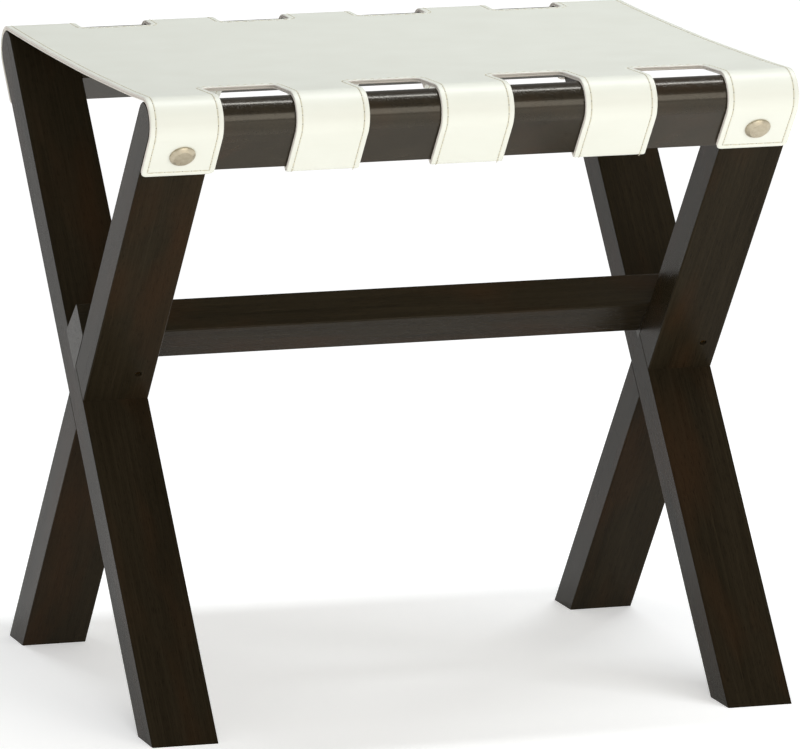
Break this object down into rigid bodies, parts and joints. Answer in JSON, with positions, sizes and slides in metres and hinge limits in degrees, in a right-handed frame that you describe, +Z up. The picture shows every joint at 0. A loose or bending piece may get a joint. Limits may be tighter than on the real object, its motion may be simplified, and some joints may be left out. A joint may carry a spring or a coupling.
{
  "type": "luggage rack",
  "caption": "X-framed wooden luggage rack with two round-topped rails, a stretcher in the crossings and a sewn leather seat whose tabs wrap the rails, fixed at the corners with metal studs.",
  "frame": {"origin": "on the floor, midway between the four feet", "axes": "+X along the rails, +Y to the back, +Z up"},
  "size_m": [0.59, 0.5162, 0.5701],
  "materials": {
    "espresso_wood": "satin",
    "dowel_wood": "matte",
    "seat_leather": "satin",
    "lining_leather": "matte",
    "seat_thread": "matte",
    "stud_metal": "satin",
    "screw_brass": "satin",
    "screw_metal": "satin"
  },
  "bodies": {
    "root": {"front_rail_leg_left": "espresso_wood", "front_rail_leg_right": "espresso_wood", "back_rail_leg_left": "espresso_wood", "back_rail_leg_right": "espresso_wood", "front_top_rail": "espresso_wood", "back_top_rail": "espresso_wood", "stretcher_bar": "espresso_wood", "seat_leather_face": "seat_leather", "seat_leather_lining": "lining_leather", "seat_stitching": "seat_thread", "back_rail_dowels_left": "dowel_wood", "back_rail_dowels_right": "dowel_wood", "back_tab_screws": "screw_metal", "back_tab_washers": "screw_metal", "corner_stud_back_left": "stud_metal", "corner_stud_back_right": "stud_metal", "corner_stud_front_left": "stud_metal", "corner_stud_front_right": "stud_metal", "crossing_dowel_left": "dowel_wood", "crossing_dowel_right": "dowel_wood", "front_rail_dowels_left": "dowel_wood", "front_rail_dowels_right": "dowel_wood", "front_tab_screws": "screw_metal", "front_tab_washers": "screw_metal", "stretcher_dowels_left": "dowel_wood", "stretcher_dowels_right": "dowel_wood", "stretcher_screw_left": "screw_brass", "stretcher_screw_right": "screw_brass"}
  },
  "joints": []
}
